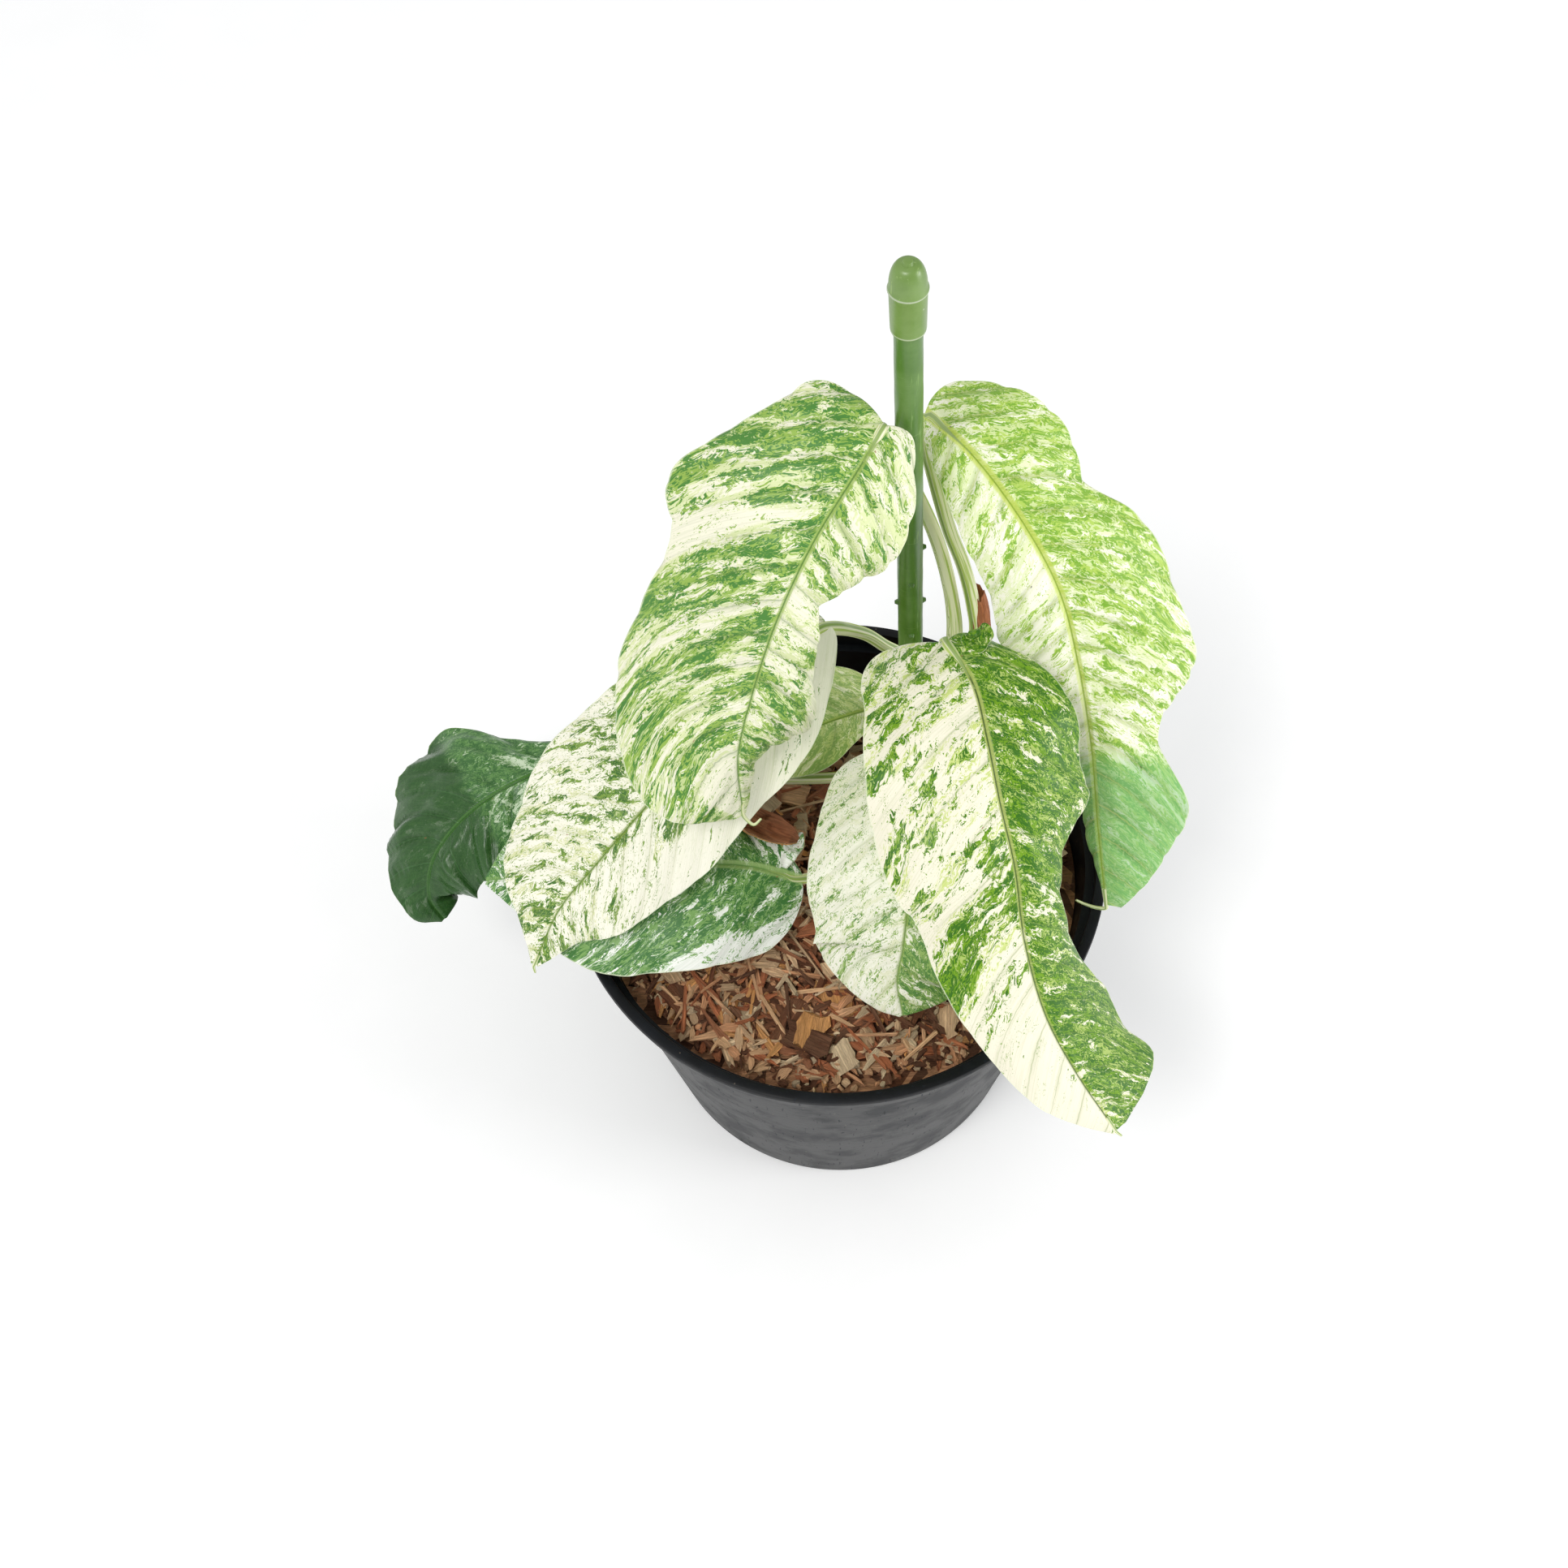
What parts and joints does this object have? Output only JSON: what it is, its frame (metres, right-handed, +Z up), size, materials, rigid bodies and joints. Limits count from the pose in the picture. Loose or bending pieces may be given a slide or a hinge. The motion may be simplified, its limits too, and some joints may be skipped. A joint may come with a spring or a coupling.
{
  "type": "potted variegated rhaphidophora puberula",
  "caption": "Potted climbing aroid with drooping marbled cream and green leaves on a short stem, in a round plastic nursery pot of bark mix with a capped plant stake.",
  "frame": {"origin": "centre of the pot's flat underside", "axes": "+Z up along the pot's axis, -Y towards the side that faces the viewer, +X to the viewer's right"},
  "size_m": [0.2233, 0.1624, 0.297],
  "materials": {
    "pot": "thin black moulded plastic with a soft gloss and fine scuffs",
    "potting_mix": "dry to damp bark and coir chips, matte",
    "stake": "green plastic coat with small moulded nubs",
    "stake_cap": "soft pale green cap, satin",
    "stem": "green stem with tan rings at the nodes, satin",
    "dry_sheath": "papery dried sheath, matte",
    "leaf_upper_left": "living leaf, satin, marbled cream and green",
    "leaf_upper_right": "living leaf, satin, marbled cream and green",
    "leaf_front": "living leaf, satin, marbled cream and green",
    "leaf_left": "living leaf, satin, marbled cream and green",
    "leaf_low_left": "living leaf, satin, deep green with pale flecks",
    "leaf_far_left": "living leaf, satin, deep green with pale flecks",
    "leaf_centre": "living leaf, satin, marbled cream and green",
    "leaf_small": "living leaf, satin, marbled cream and green"
  },
  "bodies": {
    "root": {"pot": "pot", "potting_mix": "potting_mix", "stake": "stake", "stake_cap": "stake_cap", "stem": "stem", "dry_sheath": "dry_sheath", "leaf_upper_left": "leaf_upper_left", "leaf_upper_right": "leaf_upper_right", "leaf_front": "leaf_front", "leaf_left": "leaf_left", "leaf_low_left": "leaf_low_left", "leaf_far_left": "leaf_far_left", "leaf_centre": "leaf_centre", "leaf_small": "leaf_small"}
  },
  "joints": []
}
